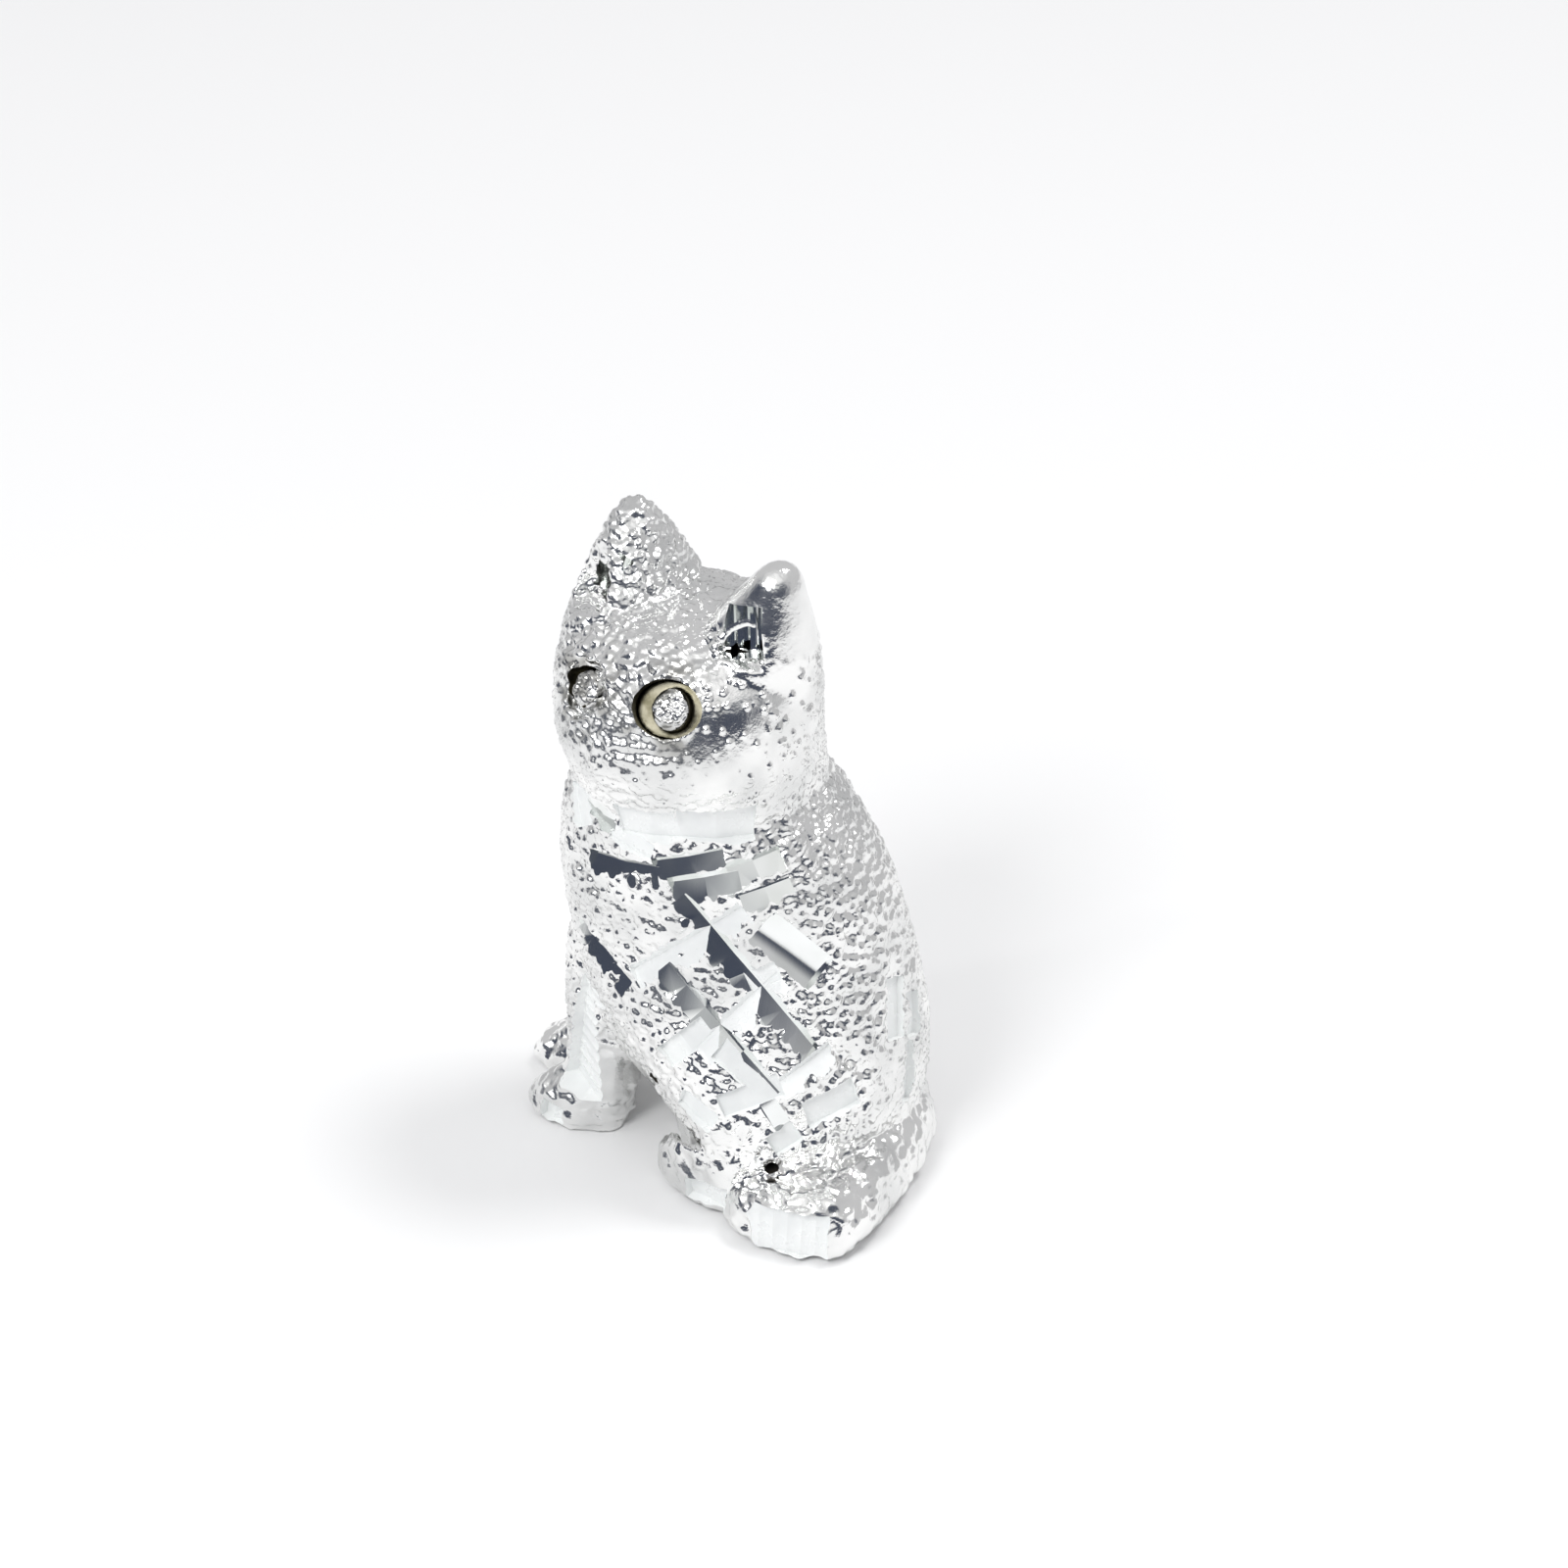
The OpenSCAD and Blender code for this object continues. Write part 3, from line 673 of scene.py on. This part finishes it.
# ---------------------------------------------------------------- operators
class SILVERCAT_OT_skin(bpy.types.Operator):
    """Sculpt the grained silver skin over the whole cat"""

    bl_idname = "silvercat.skin"
    bl_label = "Grained Skin"

    def execute(self, context):
        sizes = context.scene.silvercat_sizes
        make_finishes(context.scene.silvercat_looks)
        parts = closed_copies(SHELLS + FITTINGS)
        for place, radius in CREVICE:
            rest()
            bpy.ops.mesh.primitive_ico_sphere_add(subdivisions=3, radius=radius, location=place)
            bpy.ops.object.transform_apply(location=True, rotation=True, scale=True)
            parts.append(bpy.context.object)
        skin = remesh(join("cat_skin", parts), sizes.voxel * MM)
        keep_outer_skin(skin)
        relax(skin, 8)
        calm = relax(remesh(copy_of(skin, "calm"), 0.4), 14)
        context.view_layer.update()
        WORK["smooth"] = BVHTree.FromObject(calm, context.evaluated_depsgraph_get())
        drop(calm)

        def lumps(p):
            return ease((3.3 - p.z) / 0.9)

        def beads(p):
            return ease((4.0 - (p - CHEEK).length) / 1.2)

        def smooth(p):
            return max(ease((3.4 - (p - EAR_TIP).length) / 0.8),
                       ease((2.2 - (p - ARCH).length) / 0.8))

        def grain(p):
            return max(0.0, 1 - max(lumps(p), beads(p), smooth(p)))

        weigh(skin, "grain", grain)
        weigh(skin, "beads", lambda p: beads(p) * (1 - smooth(p)))
        weigh(skin, "lumps", lambda p: lumps(p) * (1 - smooth(p)))
        g = sizes.grain * MM
        emboss(skin, texture("grains", "VORONOI", noise_scale=g, noise_intensity=1.15, stops=DOME),
               sizes.grain_height * MM, "grain", 0.45)
        emboss(skin, texture("big_grains", "CLOUDS", noise_scale=g * 1.6, noise_depth=2),
               sizes.grain_height * MM * 0.8, "grain")
        emboss(skin, texture("beads", "VORONOI", noise_scale=0.5, noise_intensity=1.0,
                             stops=[(0.0, 1.0), (0.2, 0.8), (0.36, 0.0), (1.0, 0.0)]),
               sizes.bead_height * MM, "beads", 0.0)
        emboss(skin, texture("lumps", "CLOUDS", noise_scale=0.75, noise_depth=1),
               0.36, "lumps", 0.4)
        emboss(skin, texture("pits", "STUCCI", noise_scale=0.35), 0.1, "lumps")
        give_slots(skin)
        WORK["skin"] = skin
        return {"FINISHED"}


class SILVERCAT_OT_cuts(bpy.types.Operator):
    """Cut the bright grooves and facets into the skin"""

    bl_idname = "silvercat.cuts"
    bl_label = "Bright Cuts"

    def execute(self, context):
        skin, smooth = WORK["skin"], WORK["smooth"]
        tools = []
        for cut in BODY_CUTS:
            tools += [groove_tool(smooth, cut), groove_tool(smooth, mirrored(cut))]
        for cut in BACK_CUTS + COLLAR_CUTS + PAW_CUTS:
            tools.append(groove_tool(smooth, cut))
        for cut in COLLAR_CUTS + PAW_CUTS[:1]:
            tools.append(groove_tool(smooth, mirrored(cut)))
        for start, end, *sizes, face in FLUTED:
            tools.append(fluted_tool(start, end, *sizes, face))
        start, end, *sizes, face = FLUTED[0]
        tools.append(fluted_tool(across_middle(start), across_middle(end), *sizes,
                                 (-face[0], *face[1:])))
        for side in (1, -1):
            start, end, face = (NECK + HEAD_LEFT * x * side + HEAD_FRONT * y + Vector((0, 0, z))
                                for x, y, z in EAR_CUT)
            tools.append(fluted_tool(start, end, 1.9, 0.3, 0.55, face - NECK, BRIGHT))
        for place, out, width in VENTS:
            mouth = smooth.find_nearest(place)[0]
            tools.append(drill(mouth - out.normalized() * 0.8, out, width / 2, 1.2))
        for place, out, wide, tall, *_ in EYES.values():
            up = out.cross(Vector((0, 0, 1)).cross(out)).normalized()
            seat = drill(place, out, wide, 0.9, TARNISHED, 48)
            tools.append(stretch(seat, place, up, tall / wide))
        carve_all(skin, tools)
        return {"FINISHED"}


class SILVERCAT_OT_fittings(bpy.types.Operator):
    """Part off the ears, legs, paws and tail from the skin"""

    bl_idname = "silvercat.fittings"
    bl_label = "Ears, Legs and Tail"

    def execute(self, context):
        skin = WORK["skin"]
        for node in FITTINGS:
            zone = swell(relax(remesh(cad_copy(node), 0.3), 2), 0.3)
            give_slots(zone, INSIDE)
            piece = copy_of(skin, node + "_silver")
            carve(piece, zone, "INTERSECT")
            carve(skin, zone)
            WORK.setdefault("zones", []).append(zone)
            done(piece, node + "_silver", "silver_fitting", node)
        return {"FINISHED"}


class SILVERCAT_OT_shells(bpy.types.Operator):
    """Hollow the body and head and part them into their four shells"""

    bl_idname = "silvercat.shells"
    bl_label = "Body and Head Shells"

    def execute(self, context):
        sizes = context.scene.silvercat_sizes
        skin = WORK["skin"]
        # The fittings stop their sockets here, or the hollow would be open and turn inside out.
        parts = closed_copies(SHELLS + FITTINGS)
        hollow = keep_outer_skin(remesh(join("hollow", parts), 0.3))
        relax(hollow, 6)
        swell(hollow, -sizes.wall * MM - EXTRA_WALL)
        remesh(hollow, 0.25)
        carve_all(hollow, WORK.pop("zones"))
        keep_outer_skin(hollow)
        give_slots(hollow, INSIDE)
        carve(skin, hollow)
        drop(hollow)

        def part_off(name, low, high, turn=None, centre=None):
            size = [b - a for a, b in zip(low, high)]
            middle = [(a + b) / 2 for a, b in zip(low, high)]
            rest()
            bpy.ops.mesh.primitive_cube_add(size=1, location=middle)
            zone = context.object
            zone.scale = size
            bpy.ops.object.transform_apply(location=True, rotation=True, scale=True)
            if turn:
                zone.location = centre
                zone.rotation_euler = (0, 0, turn)
                bpy.ops.object.transform_apply(location=True, rotation=True, scale=True)
            give_slots(zone, INSIDE)
            piece = copy_of(skin, name)
            carve(piece, zone, "INTERSECT")
            drop(zone)
            return piece

        for node, name, low, high, *turned in (
                ("body_left", "body_left_silver", (MIDDLE_X, -FAR, -1), (FAR, FAR, NECK.z)),
                ("body_right", "body_right_silver", (-FAR, -FAR, -1), (MIDDLE_X, FAR, NECK.z)),
                ("face_shell", "face_silver", (-FAR, -FAR, 0), (FAR, 0, 20), HEAD_TURN, NECK),
                ("nape_shell", "nape_silver", (-FAR, 0, 0), (FAR, FAR, 20), HEAD_TURN, NECK)):
            done(part_off(name, low, high, *turned), name, "silver_shell", node)
        drop(skin)
        return {"FINISHED"}


class SILVERCAT_OT_eyes(bpy.types.Operator):
    """Set the two eye studs in their seats"""

    bl_idname = "silvercat.eyes"
    bl_label = "Eye Studs"

    def execute(self, context):
        for node, (place, out, wide, tall, disc_wide, disc_tall, aside) in EYES.items():
            side = Vector((0, 0, 1)).cross(out).normalized()
            up = out.cross(side)
            middle = place + side * aside
            floor = stretch(drill(place - out * 0.95, out, wide - 0.02, 0.12, TARNISHED, 48),
                            place, up, tall / wide)
            post = stretch(drill(middle - out * 0.5, out, disc_wide, 0.42, TARNISHED, 48),
                           middle, up, disc_tall / disc_wide)
            stud = join("stud", [floor, post])
            remesh(stud, 0.06)
            relax(stud, 3)

            def disc(p, middle=middle, out=out, radius=disc_wide + 0.08):
                gap = p - middle
                height = gap.dot(out)
                across = (gap - out * height).length
                return ease((radius - across) / 0.3) * ease((height + 0.25) / 0.1)

            weigh(stud, "disc", disc)
            modify(stud, "DISPLACE", strength=0.14, mid_level=0.0, vertex_group="disc")
            emboss(stud, texture("disc_grains", "VORONOI", noise_scale=0.34, noise_intensity=1.1,
                                 stops=DOME), 0.2, "disc", 0.4)
            give_slots(stud, TARNISHED)
            for polygon in stud.data.polygons:
                if (polygon.center - place + out * 0.3).dot(out) > 0:
                    polygon.material_index = SKIN
            done(stud, node + "_stud", "eye_stud", node)
        return {"FINISHED"}


class SILVERCAT_OT_hidden(bpy.types.Operator):
    """Finish the closing plate and the neck sleeve in satin silver"""

    bl_idname = "silvercat.hidden"
    bl_label = "Plate and Sleeve"

    def execute(self, context):
        for node in ("base_plate", "neck_sleeve"):
            piece = frame["nodes"][node]
            if not piece.material_slots:
                piece.data.materials.append(FINISH["satin"])
            for slot in piece.material_slots:
                slot.material = FINISH["satin"]
        return {"FINISHED"}


class SILVERCAT_OT_stage(bpy.types.Operator):
    """Lay the pale floor and set the studio lights and the camera"""

    bl_idname = "silvercat.stage"
    bl_label = "Studio"

    def execute(self, context):
        rest()
        bpy.ops.mesh.primitive_plane_add(size=3.0, location=(0, 0, -0.00005))
        floor = context.object
        floor.name = "floor"
        b = Bench("pale_floor")
        tone = b.noise(3, 2.0, 0.5)
        floor.data.materials.append(b.finish(
            Base_Color=b.mix(tone, (0.93, 0.93, 0.93, 1), (0.95, 0.95, 0.95, 1)), Roughness=0.9))

        def lamp(name, place, size, power):
            data = bpy.data.lights.new(name, "AREA")
            data.shape = "DISK"
            data.size, data.energy = size, power
            new = bpy.data.objects.new(name, data)
            new.location = place
            new.rotation_euler = (LAMP_AIM - Vector(place)).to_track_quat("-Z", "Y").to_euler()
            context.scene.collection.objects.link(new)

        lamp("key", (-0.07, 0.10, 0.30), 0.09, 0.3)
        lamp("fill", (0.2, -0.06, 0.22), 0.11, 0.3)
        lamp("glint", (0.17, -0.2, 0.26), 0.025, 0.06)

        world = bpy.data.worlds.new("studio")
        context.scene.world = world
        world.use_nodes = True
        t = world.node_tree
        t.nodes.clear()
        end = t.nodes.new("ShaderNodeOutputWorld")
        sky = t.nodes.new("ShaderNodeBackground")
        t.links.new(sky.outputs[0], end.inputs[0])
        place = t.nodes.new("ShaderNodeTexCoord")
        split = t.nodes.new("ShaderNodeSeparateXYZ")
        t.links.new(place.outputs["Generated"], split.inputs[0])
        height = t.nodes.new("ShaderNodeValToRGB")
        stops = [(0.0, (0.6, 0.6, 0.6, 1)), (0.49, (0.55, 0.55, 0.56, 1)),
                 (0.515, (0.05, 0.06, 0.09, 1)), (0.7, (0.08, 0.09, 0.12, 1)),
                 (0.77, (0.5, 0.51, 0.52, 1)), (0.86, (0.95, 0.95, 0.95, 1)),
                 (1.0, (1.05, 1.05, 1.05, 1))]
        height.color_ramp.elements[0].position, height.color_ramp.elements[0].color = stops[0]
        height.color_ramp.elements[1].position, height.color_ramp.elements[1].color = stops[-1]
        for p, c in stops[1:-1]:
            height.color_ramp.elements.new(p).color = c
        lift = t.nodes.new("ShaderNodeMath")
        lift.operation = "MULTIPLY_ADD"
        lift.inputs[1].default_value = 0.5
        lift.inputs[2].default_value = 0.5
        t.links.new(split.outputs[2], lift.inputs[0])
        t.links.new(lift.outputs[0], height.inputs[0])
        # The dark of the room lies on one side only; the far side is a pale screen.
        side = t.nodes.new("ShaderNodeVectorMath")
        side.operation = "DOT_PRODUCT"
        side.inputs[1].default_value = (0.97, -0.2, 0.0)
        t.links.new(place.outputs["Generated"], side.inputs[0])
        reach = t.nodes.new("ShaderNodeMapRange")
        reach.interpolation_type = "SMOOTHSTEP"
        reach.inputs["From Min"].default_value, reach.inputs["From Max"].default_value = -0.1, 0.5
        t.links.new(side.outputs["Value"], reach.inputs["Value"])
        screen = t.nodes.new("ShaderNodeMix")
        screen.data_type = "RGBA"
        screen.inputs[6].default_value = (0.58, 0.58, 0.59, 1)
        t.links.new(reach.outputs[0], screen.inputs[0])
        t.links.new(height.outputs[0], screen.inputs[7])
        path = t.nodes.new("ShaderNodeLightPath")
        pick = t.nodes.new("ShaderNodeMix")
        pick.data_type = "RGBA"
        t.links.new(path.outputs["Is Camera Ray"], pick.inputs[0])
        t.links.new(screen.outputs[2], pick.inputs[6])
        pick.inputs[7].default_value = (1, 1, 1, 1)
        t.links.new(pick.outputs[2], sky.inputs[0])
        sky.inputs[1].default_value = 1.0

        context.scene.view_settings.view_transform = "Standard"
        back = Vector((0.8065, 0.2621, 0.5299))
        right = Vector((-0.3090, 0.9511, 0.0))
        up = back.cross(right)
        eye = (back * 230 + right * 2.79 + up * 14.58) / MM
        data = bpy.data.cameras.new("camera")
        data.lens, data.sensor_width = 124.2, 36
        data.clip_start, data.clip_end = 0.01, 20
        camera = bpy.data.objects.new("camera", data)
        turn = Matrix((right, up, back)).transposed().to_4x4()
        camera.matrix_world = Matrix.Translation(eye) @ turn
        context.scene.collection.objects.link(camera)
        context.scene.camera = camera
        return {"FINISHED"}


class SILVERCAT_PT_panel(bpy.types.Panel):
    """The steps of the silver cat, in order"""

    bl_idname = "SILVERCAT_PT_panel"
    bl_label = "Silver Cat"
    bl_space_type = "VIEW_3D"
    bl_region_type = "UI"
    bl_category = "Silver Cat"

    def draw(self, context):
        for group in (context.scene.silvercat_sizes, context.scene.silvercat_looks):
            for key in group.__annotations__:
                self.layout.prop(group, key)
        for step in STEPS:
            self.layout.operator(step.bl_idname)


STEPS = (SILVERCAT_OT_skin, SILVERCAT_OT_cuts, SILVERCAT_OT_fittings, SILVERCAT_OT_shells,
         SILVERCAT_OT_eyes, SILVERCAT_OT_hidden, SILVERCAT_OT_stage)
CLASSES = (SILVERCAT_PG_sizes, SILVERCAT_PG_looks) + STEPS + (SILVERCAT_PT_panel,)


def register():
    for cls in CLASSES:
        bpy.utils.register_class(cls)
    bpy.types.Scene.silvercat_sizes = bpy.props.PointerProperty(type=SILVERCAT_PG_sizes)
    bpy.types.Scene.silvercat_looks = bpy.props.PointerProperty(type=SILVERCAT_PG_looks)


def unregister():
    del bpy.types.Scene.silvercat_looks
    del bpy.types.Scene.silvercat_sizes
    for cls in reversed(CLASSES):
        bpy.utils.unregister_class(cls)


def main():
    register()
    for step in STEPS:
        group, name = step.bl_idname.split(".")
        getattr(getattr(bpy.ops, group), name)()


if __name__ == "__main__":
    main()
